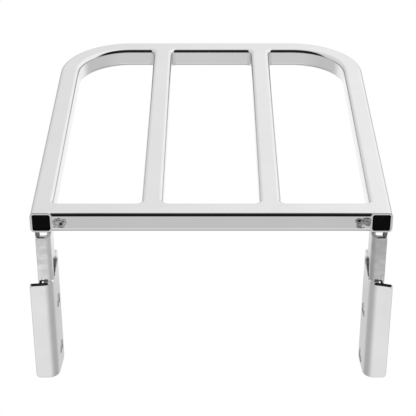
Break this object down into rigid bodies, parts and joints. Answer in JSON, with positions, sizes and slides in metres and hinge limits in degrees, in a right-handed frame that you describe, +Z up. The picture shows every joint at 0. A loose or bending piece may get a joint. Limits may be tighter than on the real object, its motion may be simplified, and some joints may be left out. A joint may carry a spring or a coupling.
{
  "type": "luggage rack",
  "caption": "Rigid chrome-plated square-tube luggage rack: U-bent tube, cross tube, slats, and welded angle brackets with bolt holes under its front corners.",
  "frame": {"origin": "centre of the front cross tube's flat top face, where the deck begins", "axes": "+Z up from the level deck, +Y towards the rounded tail, +X to the right of someone who looks along +Y"},
  "size_m": [0.25, 0.2808, 0.1371],
  "materials": {
    "chrome_tube": "bright chrome plate on polished square steel tube",
    "chrome_plate": "bright chrome plate on bent steel plate",
    "chrome_weld": "chrome plate over rippled and ground weld metal",
    "black_plastic": "moulded black polyethylene, fine satin grain"
  },
  "bodies": {
    "root": {"perimeter_tube": "chrome_tube", "front_cross_tube": "chrome_tube", "slat_left": "chrome_tube", "end_plug_left": "black_plastic", "strut_left": "chrome_plate", "mount_plate_left": "chrome_plate", "slat_front_weld_outer_left": "chrome_weld", "slat_front_weld_inner_left": "chrome_weld", "slat_rear_weld_outer_left": "chrome_weld", "slat_rear_weld_inner_left": "chrome_weld", "cross_tube_front_weld_left": "chrome_weld", "cross_tube_corner_weld_left": "chrome_weld", "strut_top_weld_left": "chrome_weld", "strut_corner_tack_left": "chrome_weld", "web_seam_weld_left": "chrome_weld", "flange_top_weld_left": "chrome_weld", "slat_right": "chrome_tube", "end_plug_right": "black_plastic", "strut_right": "chrome_plate", "mount_plate_right": "chrome_plate", "slat_front_weld_outer_right": "chrome_weld", "slat_front_weld_inner_right": "chrome_weld", "slat_rear_weld_outer_right": "chrome_weld", "slat_rear_weld_inner_right": "chrome_weld", "cross_tube_front_weld_right": "chrome_weld", "cross_tube_corner_weld_right": "chrome_weld", "strut_top_weld_right": "chrome_weld", "strut_corner_tack_right": "chrome_weld", "web_seam_weld_right": "chrome_weld", "flange_top_weld_right": "chrome_weld"}
  },
  "joints": []
}
